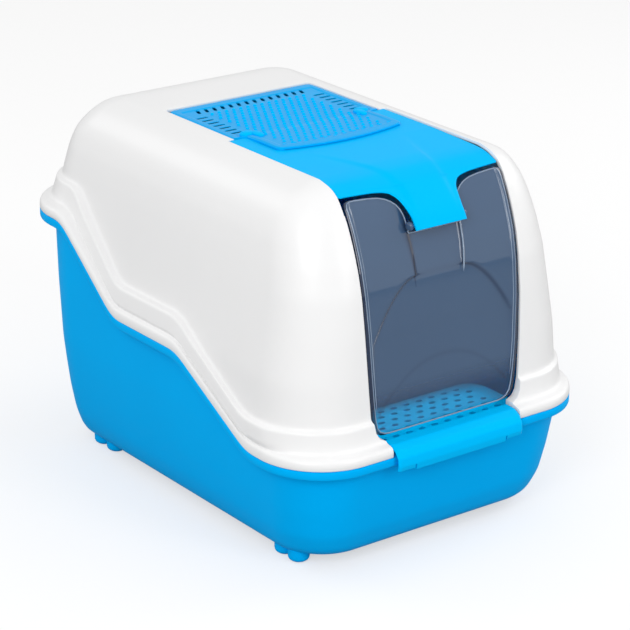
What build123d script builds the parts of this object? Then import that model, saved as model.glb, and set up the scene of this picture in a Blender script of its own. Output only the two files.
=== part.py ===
# Hooded cat litter box: a blue tray, a white hood that lifts off, a blue roof flap that carries the
# swing door and the filter, a perforated vent cover, an entry grate and a front clip.
# Millimetres. X runs across, Y from the door side (negative) to the back, Z is up.
# Everything is drawn about the centre of the tray rim and moved back by frame_shift_y when written.

import os
from build123d import *

os.makedirs("parts", exist_ok=True)

# Rim that tray and hood share, seen from above
rim_half_width = 195.0
rim_half_length = 270.0
rim_corner_radius = 75.0
frame_shift_y = 4.0

# Seam between tray and hood, seen from the side: (y, z) corners of the wave, and how round they are
seam_corners = [(310, 273), (175, 273), (74, 193.5), (-45, 193.5), (-170, 126.5), (-310, 126.5)]
seam_bend_radius = 22.0
seam_gap = 0.3
lip_height = 9.0
flange_height = 12.0
skirt_height = 30.0
skirt_inset = 8.0
wall = 3.0

# Tray levels from the base up: z, half width, corner radius, front y, back y
tray_levels = [
    (10, 148, 46, -219, 218),
    (13, 158, 54, -230, 227),
    (20, 164, 58, -237, 231),
    (40, 170, 60, -245, 234),
    (70, 175, 62, -251, 238),
    (100, 178.5, 64, -256, 241),
    (127, 181, 66, -260, 244),
    (195, 184, 68, -262, 247),
    (290, 186, 70, -262, 250),
]
base_ends_z = 30.0

# Hood levels from the rim up, in the same order
hood_levels = [
    (100, 187, 70, -250, 262),
    (155, 187, 70, -250, 262),
    (206, 184, 70, -247, 262),
    (255, 176, 68, -243, 262),
    (293, 170, 64, -238, 261),
    (322, 165, 63, -231, 256),
    (345, 160, 60, -222.5, 250),
    (362, 154, 56, -215, 243),
    (375, 147, 52, -207.5, 231),
    (386, 135, 40, -200, 214),
    (393, 121, 25, -189, 196),
    (397, 106, 12, -172, 178),
]
roof_slope_starts = 340.0

# Feet: double round lobes near the corners
foot_radius = 11.0
foot_height = 14.0
foot_x = 143.0
foot_pairs_y = [-192, -169, 150, 175]
foot_edge = 3.0

# Openings in the hood
door_opening = [(84, 141), (91, 144.5), (95, 151), (97.5, 165), (100, 206), (102, 255), (103.5, 322), (104.3, 410)]
door_opening_depth = 120.0
flap_half_width = 103.5
flap_back_y = -13.0
pan_half_width = 95.4
side_gap = 0.9
roof_opening_back_y = 115.6

# Roof hinge, which the flap turns on
roof_hinge_y = 109.5
roof_hinge_z = 391.5
roof_pin_radius = 2.2
running_gap = 0.05
pin_lug_thickness = 4.4
roof_lug_half_length = 6.5
roof_lug_bottom_z = 386.0

# Flap (bonnet) side line from the filter pan to the tip of the tongue: (y, z) of its outer face
flap_thickness = 3.0
flap_line = [(-160, 396.5), (-180, 394.6), (-200, 387), (-210, 378.8), (-220, 369.8), (-229, 360), (-236, 348)]
roof_z = 396.5
tongue_side = [(61, -201.6), (48.9, -203.5), (38.5, -210), (34.5, -220.5), (32.4, -238)]
flap_front_y = -199.0
pan_front_y = -33.0
pan_back_y = 113.0
pan_floor_z = 384.0
pan_wall = 2.5
pan_top_z = 393.4
pan_hole_pitch = 24.0
pan_hole_size = 17.0

# Filter pad that lies in the pan
pad_edge_gap = 4.5
pad_thickness = 5.0

# Vent cover over the pan: (y, z) of its outer face from the back edge to the front lip
cover_half_width = 95.0
cover_front_half_width = 81.0
cover_line = [(113, 394.6), (111.5, 396.4), (108, 397), (-6, 397), (-20, 399.8), (-72, 399.8), (-81, 398.9)]
cover_thickness = 2.4
cover_step_y = -12.0
cover_lip_sag = 12.0
cover_rim_height = 3.2
cover_rim_gap = 0.5
slot_length = 15.0
slot_width = 4.0
slot_count = 14
slot_row_y = 90.0
slot_slant = 18.0
side_slot_count = 6
side_slot_x = 76.0
side_slot_pitch = 10.5
side_slot_start_y = 66.0
catch_x = 74.0
catch_y = -6.0
catch_radius = 7.0
catch_height = 3.0

# Swing door: outer face (y, z) from the top edge down, and the outline's half width at each height
door_thickness = 2.5
door_line = [(-200, 385), (-208, 373), (-217.5, 355), (-230, 322), (-236.5, 293), (-241.5, 255), (-245, 206),
             (-246.5, 170), (-247, 142.5)]
door_side = [(76, 142.5), (89, 147.5), (94, 160), (96, 175), (98, 206), (100, 255), (101.3, 322), (101.5, 380.2)]
door_top = [(61, 379), (49.6, 376), (40.8, 371), (37.3, 366), (35.4, 360), (34.2, 352)]
door_neck_half_width = 34.2
door_neck_top_z = 342.5
door_hinge_y = -226.0
door_hinge_z = 350.0
door_pin_radius = 2.0
door_ear_radius = 4.5
door_ear_thickness = 4.0
door_ear_inner_x = 32.5
tongue_rib_radius = 5.5
tongue_rib_thickness = 3.0
rib_side_gap = 0.8

# Front clip that holds the hood: (y, z) of its outer face from the crown down to the lower lip
clip_half_width = 82.0
clip_line = [(-252, 139), (-263, 138.4), (-271, 134.5), (-276.5, 127), (-278, 118), (-276.4, 110.6)]
clip_thickness = 2.5
clip_hinge_y = -269.5
clip_hinge_z = 113.0
clip_pin_radius = 1.8
clip_rib_x = 56.5
clip_rib_thickness = 3.8
clip_boss_radius = 3.6
clip_lug_reach = 3.0
clip_notch_half_width = 84.0
clip_notch_y = -240.0

# Entry grate inside the door
grate_half_width = 108.0
grate_front_y = -242.0
grate_back_y = -166.0
grate_top_z = 129.5
grate_thickness = 2.5
grate_corner_radius = 22.0
grate_skirt_height = 9.5
grate_skirt_thickness = 2.0
grate_hinge_y = -238.0
grate_hinge_z = 123.0
grate_pin_radius = 2.0
grate_lug_top_z = 126.0
grate_rib_x = 96.0
grate_rib_step_y = -228.0
grate_rib_end_y = -180.0
grate_rib_gap = 0.3
hole_half_length = 4.2
hole_half_width = 2.6
hole_pitch_x = 17.0
hole_pitch_y = 11.5
hole_rows = 6
hole_columns = 11

far = 400.0


def write(name, solid):
    # One solid to a file, moved to the shared frame.
    moved = Pos(0, frame_shift_y, 0) * solid
    moved.label = name
    export_step(moved, "parts/" + name + ".step")


def level_section(level, inset, drop):
    # Rounded rectangle of one level, shrunk by the inset and lowered by the drop.
    z, half_width, corner, front, back = level
    width = 2 * (half_width - inset)
    length = back - front - 2 * inset
    radius = max(corner - inset, wall)
    return Pos(0, (front + back) / 2, z - drop) * RectangleRounded(width, length, radius)


def hood_form(inset):
    # Outside or inside of the hood; the sloping roof is also lowered, so that its wall stays as thick.
    sections = []
    for level in hood_levels:
        drop = inset if level[0] > roof_slope_starts else 0
        sections.append(level_section(level, inset, drop))
    return loft(sections, ruled=True)


def tray_form(inset):
    # Outside or inside of the tray; the inside starts one wall above the base.
    sections = []
    for level in tray_levels:
        sections.append(level_section(level, inset, -inset if level[0] < base_ends_z else 0))
    return loft(sections, ruled=True)


def rim_prism(inset):
    # Upright block with the rim's outline.
    outline = RectangleRounded(
        2 * (rim_half_width - inset), 2 * (rim_half_length - inset), rim_corner_radius - inset)
    return extrude(outline, amount=far)


def seam_slab(low, high):
    # Block across the whole width between the seam moved by low and the seam moved by high.
    low_line = FilletPolyline(*[(y, z + low) for y, z in seam_corners], radius=seam_bend_radius)
    high_line = FilletPolyline(*[(y, z + high) for y, z in seam_corners], radius=seam_bend_radius)
    back_end = Line(low_line @ 0, high_line @ 0)
    front_end = Line(low_line @ 1, high_line @ 1)
    face = make_face(low_line + high_line + back_end + front_end)
    return extrude(Plane.YZ * face, amount=far, both=True)


def side_strip(line, thickness, half_width):
    # Sheet with the given side line (y, z) as its outer face, carried across the width.
    outer = Spline(*line) if len(line) > 2 else Line(*line)
    inner = offset_line(line, thickness)
    start = Line(line[0], inner @ 0)
    end = Line(line[-1], inner @ 1)
    face = make_face(outer + inner + start + end)
    return extrude(Plane.YZ * face, amount=half_width, both=True)


def offset_line(line, thickness):
    # The side line moved towards the inside, point by point along its normals.
    points = []
    last = len(line) - 1
    for index, point in enumerate(line):
        before = Vector(*line[max(index - 1, 0)])
        after = Vector(*line[min(index + 1, last)])
        along = (after - before).normalized()
        inward = Vector(-along.Y, along.X)
        points.append(Vector(*point) + inward * thickness)
    return Spline(*points)


def mirrored_outline(points):
    # Closed outline from points on the +X side, each an (x, value) pair, and their mirror images.
    mirror_points = [(-x, value) for x, value in reversed(points)]
    return make_face(Polyline(*points, *mirror_points, close=True))


def cross_pin(radius, inner_x, outer_x, y, z):
    # Round pin along X on the +X side.
    middle = (inner_x + outer_x) / 2
    return Pos(middle, y, z) * Rot(0, 90, 0) * Cylinder(radius, outer_x - inner_x)


def both_sides(solid):
    # The solid and its mirror image.
    return solid + mirror(solid, about=Plane.YZ)


def block(x0, x1, y0, y1, z0, z1):
    # Box from its lowest and highest corners.
    return Pos((x0 + x1) / 2, (y0 + y1) / 2, (z0 + z1) / 2) * Box(x1 - x0, y1 - y0, z1 - z0)


def make_tray():
    inside = tray_form(wall)
    shell = (tray_form(0) - inside) & seam_slab(-far, 0)
    lip = (rim_prism(0) - inside) & seam_slab(-lip_height, 0)
    tray = shell + lip
    for y in foot_pairs_y:
        foot = Pos(foot_x, y, foot_height / 2) * Cylinder(foot_radius, foot_height)
        foot = fillet(foot.faces().sort_by(Axis.Z)[0].edges(), foot_edge)
        tray += both_sides(foot - inside)
    # Lugs under the lip for the clip's pins
    lug_x = clip_rib_x + clip_rib_thickness + rib_side_gap
    lug_back_y = tray_levels[5][3] + wall / 2
    lug = block(lug_x, lug_x + pin_lug_thickness, clip_hinge_y - clip_lug_reach, lug_back_y,
                clip_hinge_z - clip_lug_reach, seam_corners[-1][1] - lip_height / 2)
    lug -= cross_pin(clip_pin_radius, 0, far, clip_hinge_y, clip_hinge_z)
    tray += both_sides(lug)
    # Lugs and ribs inside the front wall for the entry grate
    front_inside_y = tray_levels[6][3] + wall / 2
    lug_x = grate_half_width + rib_side_gap
    lug = block(lug_x, lug_x + pin_lug_thickness, front_inside_y, grate_hinge_y + 2 * grate_pin_radius,
                grate_hinge_z - 4 * grate_pin_radius, grate_lug_top_z)
    lug -= cross_pin(grate_pin_radius, 0, far, grate_hinge_y, grate_hinge_z)
    tray += both_sides(lug)
    rib_top_z = grate_top_z - grate_thickness - grate_rib_gap
    rib_front_z = rib_top_z - 4 * wall
    rib_line = Polyline(
        (front_inside_y, rib_front_z), (grate_rib_step_y, rib_front_z), (grate_rib_step_y, rib_top_z),
        (grate_rib_end_y, rib_top_z), (grate_rib_end_y, rib_front_z - 2 * wall),
        (front_inside_y, rib_top_z - 16 * wall), close=True)
    rib = Pos(grate_rib_x, 0, 0) * extrude(Plane.YZ * make_face(rib_line), amount=wall)
    return tray + both_sides(rib)


def make_hood():
    inside = hood_form(wall)
    shell = hood_form(0) - inside
    skirt = (rim_prism(skirt_inset) - inside) & seam_slab(0, skirt_height)
    flange = (rim_prism(0) - inside) & seam_slab(0, flange_height)
    hood = (shell & seam_slab(seam_gap, far)) + (skirt & seam_slab(seam_gap, far))
    hood += flange & seam_slab(seam_gap, far)
    # Roof lugs for the flap's pins
    lug_x = pan_half_width + side_gap
    lug = block(lug_x, lug_x + pin_lug_thickness, roof_hinge_y - roof_lug_half_length,
                roof_hinge_y + roof_lug_half_length, roof_lug_bottom_z, roof_z - flap_thickness / 2)
    hood += both_sides(lug)
    hood -= both_sides(cross_pin(roof_pin_radius, lug_x - wall, lug_x + pin_lug_thickness,
                                 roof_hinge_y, roof_hinge_z))
    # Door opening, roof opening in two widths, and the notch for the front clip
    outline = Plane.XZ * mirrored_outline(door_opening)
    hood -= Pos(0, -rim_half_length - wall, 0) * extrude(outline, amount=-door_opening_depth)
    hood -= block(-flap_half_width - side_gap, flap_half_width + side_gap, -rim_half_length,
                  flap_back_y + side_gap, roof_lug_bottom_z, far + wall)
    hood -= block(-lug_x, lug_x, flap_back_y - wall, roof_opening_back_y, roof_lug_bottom_z - wall, far + wall)
    hood -= block(-clip_notch_half_width, clip_notch_half_width, -rim_half_length - wall, clip_notch_y, 0,
                  door_opening[0][1] + wall)
    return hood


def make_bonnet():
    # Flap: a flat sheet and the curved front, cut to the outline seen from above
    flat = block(-flap_half_width, flap_half_width, flap_line[0][0], flap_back_y, roof_z - flap_thickness, roof_z)
    curved = side_strip(flap_line, flap_thickness, flap_half_width)
    side = [(flap_half_width, flap_back_y), (flap_half_width, flap_front_y)] + tongue_side
    outline = extrude(mirrored_outline(side), amount=far + wall)
    flap = (flat + curved) & outline
    # Pan for the filter behind and under the flap, with an open lattice floor
    pan = block(-pan_half_width, pan_half_width, pan_front_y, pan_back_y, pan_floor_z, pan_top_z)
    hollow = block(-pan_half_width + pan_wall, pan_half_width - pan_wall, pan_front_y + pan_wall,
                   pan_back_y - pan_wall, pan_floor_z + pan_wall, far)
    front_wall = block(-pan_half_width, pan_half_width, pan_front_y, pan_front_y + pan_wall, pan_floor_z,
                       roof_z - flap_thickness / 2)
    bonnet = (flap + pan + front_wall) - hollow
    middle_y = (pan_front_y + pan_back_y) / 2
    holes = [Pos(column * pan_hole_pitch, middle_y + row * pan_hole_pitch, pan_floor_z)
             * Box(pan_hole_size, pan_hole_size, 4 * pan_wall)
             for column in range(-3, 4) for row in range(-2, 3)]
    bonnet -= holes
    bonnet -= both_sides(cross_pin(roof_pin_radius + running_gap, pan_half_width - 2 * pan_wall,
                                   pan_half_width + wall, roof_hinge_y, roof_hinge_z))
    # Ribs under the tongue for the door's pins
    rib_x = door_ear_inner_x - rib_side_gap - tongue_rib_thickness
    boss = cross_pin(tongue_rib_radius, rib_x, rib_x + tongue_rib_thickness, door_hinge_y, door_hinge_z)
    web_line = Polyline((door_hinge_y - tongue_rib_radius, door_hinge_z), flap_line[-2],
                        (flap_line[-3][0] + wall, flap_line[-3][1] - wall),
                        (door_hinge_y + tongue_rib_radius, door_hinge_z), close=True)
    web = Pos(rib_x, 0, 0) * extrude(Plane.YZ * make_face(web_line), amount=tongue_rib_thickness)
    web = web & side_strip(flap_line, 8 * wall, flap_half_width)
    bore = cross_pin(door_pin_radius, 0, far, door_hinge_y, door_hinge_z)
    return bonnet + both_sides((boss + web) - bore)


def make_filter_pad():
    return block(-pan_half_width + pad_edge_gap + pan_wall, pan_half_width - pad_edge_gap - pan_wall,
                 pan_front_y + pad_edge_gap + pan_wall, pan_back_y - 2 * pad_edge_gap,
                 pan_floor_z + pan_wall, pan_floor_z + pan_wall + pad_thickness)


def make_vent_cover():
    profile = Polyline(*cover_line, *[(y, z - cover_thickness) for y, z in reversed(cover_line[2:])], close=True)
    plate = extrude(Plane.YZ * make_face(profile), amount=cover_half_width, both=True)
    front = cover_line[-1][0]
    outline = make_face(
        Polyline((cover_half_width, cover_line[0][0]), (cover_half_width, cover_step_y),
                 (cover_front_half_width, cover_step_y), (cover_front_half_width, front + cover_lip_sag))
        + ThreePointArc((cover_front_half_width, front + cover_lip_sag), (0, front),
                        (-cover_front_half_width, front + cover_lip_sag))
        + Polyline((-cover_front_half_width, front + cover_lip_sag), (-cover_front_half_width, cover_step_y),
                   (-cover_half_width, cover_step_y), (-cover_half_width, cover_line[0][0]),
                   (cover_half_width, cover_line[0][0])))
    cover = plate & extrude(outline, amount=far + 2 * wall)
    # Locating rim that drops into the pan
    edge = pan_half_width - pan_wall - cover_rim_gap
    back = pan_back_y - pan_wall - 6 * cover_rim_gap - roof_pin_radius * 2
    front = pan_front_y + pan_wall + cover_rim_gap
    top = cover_line[3][1] - cover_thickness + cover_rim_gap
    rim = block(-edge + wall, edge - wall, front, back, top - cover_rim_height, top)
    rim -= block(-edge + 2 * wall, edge - 2 * wall, front + wall, back - wall, 0, 2 * far)
    cover += rim
    # Finger catches at the sides, then the slots
    catch = Pos(catch_x, catch_y, cover_line[3][1]) * Cylinder(catch_radius, 2 * catch_height)
    cover += both_sides(catch)
    slot = SlotOverall(slot_length, slot_width)
    back_slots = [Pos((index - (slot_count - 1) / 2) * side_slot_pitch, slot_row_y, 0)
                  * Rot(0, 0, 90 - slot_slant) * slot for index in range(slot_count)]
    side_slots = [Pos(side * side_slot_x, side_slot_start_y - index * side_slot_pitch, 0)
                  * Rot(0, 0, -slot_slant / 2) * slot for index in range(side_slot_count) for side in (-1, 1)]
    for cut in back_slots + side_slots:
        cover -= Pos(0, 0, roof_lug_bottom_z) * extrude(cut, amount=far)
    return cover


def make_door():
    sheet = side_strip(door_line, door_thickness, flap_half_width)
    right = door_side + door_top + [(door_neck_half_width, door_neck_top_z)]
    outline = Plane.XZ * mirrored_outline(right)
    door = sheet & extrude(outline, amount=far)
    ear_x = door_ear_inner_x
    boss = cross_pin(door_ear_radius, ear_x, ear_x + door_ear_thickness, door_hinge_y, door_hinge_z)
    web = block(ear_x, ear_x + door_ear_thickness, door_hinge_y, door_hinge_y + door_ear_radius + wall,
                door_hinge_z - door_ear_radius, door_hinge_z)
    door += both_sides(boss + web)
    return door - cross_pin(door_pin_radius + running_gap, -far, far, door_hinge_y, door_hinge_z)


def make_front_clip():
    clip = side_strip(clip_line, clip_thickness, clip_half_width)
    rib = cross_pin(clip_boss_radius, clip_rib_x, clip_rib_x + clip_rib_thickness, clip_hinge_y, clip_hinge_z)
    rib += block(clip_rib_x, clip_rib_x + clip_rib_thickness, clip_line[-2][0] + clip_thickness / 2, clip_hinge_y,
                 clip_hinge_z - wall, clip_hinge_z + wall)
    clip += both_sides(rib)
    return clip - cross_pin(clip_pin_radius + running_gap, -far / 2, far / 2, clip_hinge_y, clip_hinge_z)


def make_entry_grate():
    length = grate_back_y - grate_front_y
    middle_y = (grate_back_y + grate_front_y) / 2
    outline = Rectangle(2 * grate_half_width, length)
    outline = fillet(outline.vertices().group_by(Axis.Y)[-1], grate_corner_radius)
    solid = Pos(0, middle_y, grate_top_z - grate_skirt_height) * extrude(outline, amount=grate_skirt_height)
    hollow = block(-grate_half_width + grate_skirt_thickness, grate_half_width - grate_skirt_thickness,
                   grate_front_y - wall, grate_back_y - grate_skirt_thickness, 0, grate_top_z - grate_thickness)
    hollow = fillet(hollow.edges().filter_by(Axis.Z).group_by(Axis.Y)[-1],
                    grate_corner_radius - grate_skirt_thickness)
    grate = solid - hollow
    hole = extrude(Ellipse(hole_half_length, hole_half_width), amount=grate_thickness * 3)
    for row in range(hole_rows):
        shift = hole_pitch_x / 2 if row % 2 else 0
        for column in range(hole_columns):
            x = (column - (hole_columns - 1) / 2) * hole_pitch_x + shift
            y = grate_front_y + hole_pitch_y * (row + 1) - hole_half_width
            if abs(x) < grate_half_width - hole_pitch_x:
                grate -= Pos(x, y, grate_top_z - 2 * grate_thickness) * hole
    skirt_hole = cross_pin(grate_pin_radius + running_gap, grate_half_width - 3 * wall,
                           grate_half_width + wall, grate_hinge_y, grate_hinge_z)
    return grate - both_sides(skirt_hole)


def make_pin_pair(name, radius, inner_x, outer_x, y, z):
    # The same pin on the right (+X) and the left.
    pin = cross_pin(radius, inner_x, outer_x, y, z)
    write(name + "_right", pin)
    write(name + "_left", mirror(pin, about=Plane.YZ))


write("base_tray", make_tray())
write("hood", make_hood())
write("bonnet", make_bonnet())
write("filter_pad", make_filter_pad())
write("vent_cover", make_vent_cover())
write("door", make_door())
write("front_clip", make_front_clip())
write("entry_grate", make_entry_grate())
clip_lug_x = clip_rib_x + clip_rib_thickness + rib_side_gap
grate_lug_x = grate_half_width + rib_side_gap
roof_lug_x = pan_half_width + side_gap
make_pin_pair("clip_pin", clip_pin_radius, clip_rib_x, clip_lug_x + pin_lug_thickness, clip_hinge_y, clip_hinge_z)
make_pin_pair("grate_pin", grate_pin_radius, grate_half_width - 2 * grate_skirt_thickness,
              grate_lug_x + pin_lug_thickness, grate_hinge_y, grate_hinge_z)
make_pin_pair("roof_pin", roof_pin_radius, pan_half_width - 1.5 * pan_wall, roof_lug_x + pin_lug_thickness,
              roof_hinge_y, roof_hinge_z)
make_pin_pair("door_pin", door_pin_radius, door_ear_inner_x - rib_side_gap - tongue_rib_thickness,
              door_ear_inner_x + door_ear_thickness, door_hinge_y, door_hinge_z)
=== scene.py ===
# Hooded cat litter box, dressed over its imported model. Metres, in the model's own frame.
import bpy
import numpy as np
from mathutils import Matrix, Vector


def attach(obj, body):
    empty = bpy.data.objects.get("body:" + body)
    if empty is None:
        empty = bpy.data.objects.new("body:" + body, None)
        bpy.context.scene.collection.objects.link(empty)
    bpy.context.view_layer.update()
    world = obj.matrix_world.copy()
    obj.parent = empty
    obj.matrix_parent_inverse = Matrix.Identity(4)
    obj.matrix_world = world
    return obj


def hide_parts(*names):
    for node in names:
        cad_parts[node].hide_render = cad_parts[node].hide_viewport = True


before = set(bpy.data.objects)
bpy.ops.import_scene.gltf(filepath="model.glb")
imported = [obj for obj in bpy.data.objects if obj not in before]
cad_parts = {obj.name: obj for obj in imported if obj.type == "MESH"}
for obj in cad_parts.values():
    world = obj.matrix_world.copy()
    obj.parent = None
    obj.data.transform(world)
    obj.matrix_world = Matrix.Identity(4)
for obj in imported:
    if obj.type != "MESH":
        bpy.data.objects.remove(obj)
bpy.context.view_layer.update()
mm = 0.001
frameShift = 4.0        # the rim's centre lies this far behind the origin, in mm


# Sockets as numbers

def plug(tree, node, inputs):
    # each input gets a link or a value
    for key, value in inputs.items():
        if isinstance(value, Wire):
            tree.links.new(value.socket, node.inputs[key])
        else:
            node.inputs[key].default_value = value


class Wire:
    # wraps an output socket, so that shader maths reads as an expression
    def __init__(self, tree, socket):
        self.tree = tree
        self.socket = socket

    def maths(self, operation, other):
        node = self.tree.nodes.new("ShaderNodeMath")
        node.operation = operation
        plug(self.tree, node, {0: self, 1: other})
        return Wire(self.tree, node.outputs[0])

    def __add__(self, other):
        return self.maths("ADD", other)

    __radd__ = __add__

    def __sub__(self, other):
        return self.maths("SUBTRACT", other)

    def __mul__(self, other):
        return self.maths("MULTIPLY", other)

    def __gt__(self, other):
        return self.maths("GREATER_THAN", other)


class Finish:
    # a material with one method for every node
    def __init__(self, name):
        self.material = bpy.data.materials.new(name)
        self.material.use_nodes = True
        self.tree = self.material.node_tree
        self.tree.nodes.clear()

    def node(self, kind, settings=None, inputs=None, output=0):
        # settings are set first, then the sockets get values or links
        made = self.tree.nodes.new(kind)
        for key, value in (settings or {}).items():
            if key == "stops":
                for place, colour in value:
                    stop = made.color_ramp.elements.new(place)
                    stop.color = colour
                made.color_ramp.elements.remove(made.color_ramp.elements[0])
                made.color_ramp.elements.remove(made.color_ramp.elements[-1])
            else:
                setattr(made, key, value)
        plug(self.tree, made, inputs or {})
        return Wire(self.tree, made.outputs[output]) if len(made.outputs) else None

    def coords(self):
        return self.node("ShaderNodeTexCoord", output="Object")

    def noise(self, scale, detail=3.0, rough=0.55):
        return self.node("ShaderNodeTexNoise", {}, {"Vector": self.coords(), "Scale": scale, "Detail": detail,
                                                   "Roughness": rough})

    def blend(self, factor, first, second):
        # mixes two colours
        made = self.tree.nodes.new("ShaderNodeMix")
        made.data_type = "RGBA"
        plug(self.tree, made, {0: factor, 6: first, 7: second})
        return Wire(self.tree, made.outputs[2])

    def bump(self, height, strength, distance):
        return self.node("ShaderNodeBump", {}, {"Height": height, "Strength": strength, "Distance": distance})

    def finish(self, inputs):
        shader = self.node("ShaderNodeBsdfPrincipled", {}, inputs)
        self.node("ShaderNodeOutputMaterial", {}, {"Surface": shader})
        return self.material


blueTint = (0.05, 0.5, 1, 1)      # the blues keep their colour in the glancing light
mouldedPlastics = {
    "trayBlue": dict(light=(0.0, 0.455, 0.97, 1), dark=(0.0, 0.42, 0.92, 1), rough=0.42, shine=0.03),
    "flapBlue": dict(light=(0.0, 0.52, 1.0, 1), dark=(0.0, 0.48, 0.96, 1), rough=0.40, shine=0.03),
    "hoodWhite": dict(light=(0.87, 0.87, 0.87, 1), dark=(0.845, 0.845, 0.848, 1), rough=0.36, shine=0.4,
                      coat=0.08, tint=(1, 1, 1, 1)),
    "coverBlue": dict(light=(0.0, 0.44, 0.92, 1), dark=(0.0, 0.36, 0.82, 1), rough=0.34, shine=0.10),
    "pinBlue": dict(light=(0.0, 0.42, 0.9, 1), dark=(0.0, 0.36, 0.8, 1), rough=0.4, shine=0.1),
}


def mouldedPlastic(name, look):
    # glossy moulded plastic: faint cloudy tint, fine grain in the gloss, slow waves in the wall
    made = Finish(name)
    cloud = made.noise(9.0, 3.0)
    grain = made.noise(900.0, 2.0)
    wave = made.noise(22.0, 1.0)
    colour = made.blend(cloud, look["dark"], look["light"])
    height = grain * 0.12 + wave * 0.9
    return made.finish({
        "Base Color": colour,
        "Roughness": look["rough"] + (cloud - 0.5) * 0.06 + (grain - 0.5) * 0.05,
        "Normal": made.bump(height, 0.06, 0.001),
        "Coat Weight": look.get("coat", 0.0),
        "Coat Roughness": 0.2,
        "Specular IOR Level": look["shine"],
        "Specular Tint": look.get("tint", blueTint),
    })


doorLook = dict(light=(0.062, 0.118, 0.215, 1), dark=(0.056, 0.106, 0.198, 1), alpha=0.88, clear=0.62,
                rough=0.07)
# painted highlight: a lighter tint for the thin cords that stand for light caught along the door's edges
highlightCordLook = dict(light=(0.34, 0.44, 0.58, 1), dark=(0.24, 0.33, 0.46, 1), alpha=0.8, clear=0.0, rough=0.05)


def smokedClear(name, look):
    # smoked clear plastic: see-through body with a clean gloss and faint flow marks
    made = Finish(name)
    cloud = made.noise(6.0, 2.0)
    flow = made.noise(14.0, 1.0)
    # painted shade, kept in the mesh: darker lines along the door's arch and down the left of its neck, and a
    # dark strip along its sides for the shaded gap round the door; the door is also made more opaque there
    paintedShade = made.node("ShaderNodeAttribute", {"attribute_name": "paintedShade"}, {}, 2)
    body = made.blend(cloud, look["dark"], look["light"])
    # the sheet thins towards its foot, where more light comes through
    split = made.node("ShaderNodeSeparateXYZ", {}, {"Vector": made.coords()}, 2)
    foot = made.node("ShaderNodeMapRange", {"interpolation_type": "SMOOTHSTEP"},
                     {"Value": split, "From Min": 0.16, "From Max": 0.195, "To Min": 1.0, "To Max": 0.0})
    return made.finish({
        "Base Color": made.blend(paintedShade * 0.85, body, (0.008, 0.022, 0.06, 1)),
        "Roughness": look["rough"] + (cloud - 0.5) * 0.04,
        "Alpha": look["alpha"] + (cloud - 0.5) * 0.04 - foot * look["clear"] + paintedShade * 0.3,
        "Normal": made.bump(flow, 0.03, 0.001),
        "Coat Weight": 0.5,
        "Coat Roughness": 0.03,
    })


def carbonFelt(name):
    # needled felt: matted dark fibres with pale specks
    made = Finish(name)
    fibre = made.node("ShaderNodeTexNoise", {}, {"Vector": made.coords(), "Scale": 420.0, "Detail": 6.0,
                                                 "Roughness": 0.75, "Distortion": 1.6}, 0)
    speck = made.noise(1500.0, 1.0) > 0.66
    colour = made.blend(fibre, (0.012, 0.012, 0.014, 1), (0.07, 0.07, 0.075, 1))
    return made.finish({
        "Base Color": made.blend(speck * 0.35, colour, (0.2, 0.2, 0.21, 1)),
        "Roughness": 0.95,
        "Normal": made.bump(fibre, 0.8, 0.0012),
    })


finishes = {name: mouldedPlastic(name, look) for name, look in mouldedPlastics.items()}
finishes["smokedClear"] = smokedClear("smokedClear", doorLook)
finishes["clearEdge"] = smokedClear("clearEdge", highlightCordLook)
finishes["carbonFelt"] = carbonFelt("carbonFelt")
print("finishes ready")


# Mesh helpers

def linked(name, data):
    # an object in the scene that holds the mesh, lamp or camera
    held = bpy.data.objects.new(name, data)
    bpy.context.scene.collection.objects.link(held)
    return held


def rawMesh(name, points, faces):
    # points in mm about the rim's centre
    mesh = bpy.data.meshes.new(name)
    placed = (np.asarray(points, float) + (0, frameShift, 0)) * mm
    mesh.from_pydata(placed.tolist(), [], faces)
    return mesh


def smoothShade(mesh, sharpAngle):
    mesh.shade_smooth()
    mesh.set_sharp_from_angle(angle=np.radians(sharpAngle))


def meshFrom(name, points, faces, finish, body, slot, sharpAngle=35.0):
    # one dressed object at the origin, which rides with its body
    mesh = rawMesh(name, points, faces)
    mesh.validate()
    mesh.update()
    smoothShade(mesh, sharpAngle)
    piece = linked(name, mesh)
    mesh.materials.append(finishes[finish])
    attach(piece, body)
    return piece


def merged(shapes):
    # several closed shapes as one list of points and one of faces
    points, faces, first = [], [], 0
    for shapePoints, shapeFaces in shapes:
        points.append(shapePoints)
        faces += [[corner + first for corner in face] for face in shapeFaces]
        first += len(shapePoints)
    return np.vstack(points), faces


def joined(name, shapes, finish, body, slot, sharpAngle=60):
    return meshFrom(name, *merged(shapes), finish, body, slot, sharpAngle)


def gridFaces(rows, columns, around):
    # quads of a grid of points, joined end to end where it runs around
    row = np.arange(rows - 1)[:, None]
    column = np.arange(columns if around else columns - 1)[None, :]
    following = (column + 1) % columns
    corners = (row * columns + column, row * columns + following,
               (row + 1) * columns + following, (row + 1) * columns + column)
    quads = np.stack([np.broadcast_to(corner, (rows - 1, column.size)) for corner in corners], -1)
    return quads.reshape(-1, 4).tolist()


def closedTube(points):
    # points is rows x columns x 3, joined around, with a fan over the first row and the last
    rows, columns = points.shape[:2]
    flat = points.reshape(-1, 3)
    flat = np.vstack([flat, points[0].mean(0), points[-1].mean(0)])
    faces = gridFaces(rows, columns, True)
    step = np.arange(columns)
    start, end = rows * columns, rows * columns + 1
    lastRow = (rows - 1) * columns
    faces += np.stack([np.full(columns, start), (step + 1) % columns, step], -1).tolist()
    faces += np.stack([np.full(columns, end), lastRow + step, lastRow + (step + 1) % columns], -1).tolist()
    return outward(flat, faces)


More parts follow.
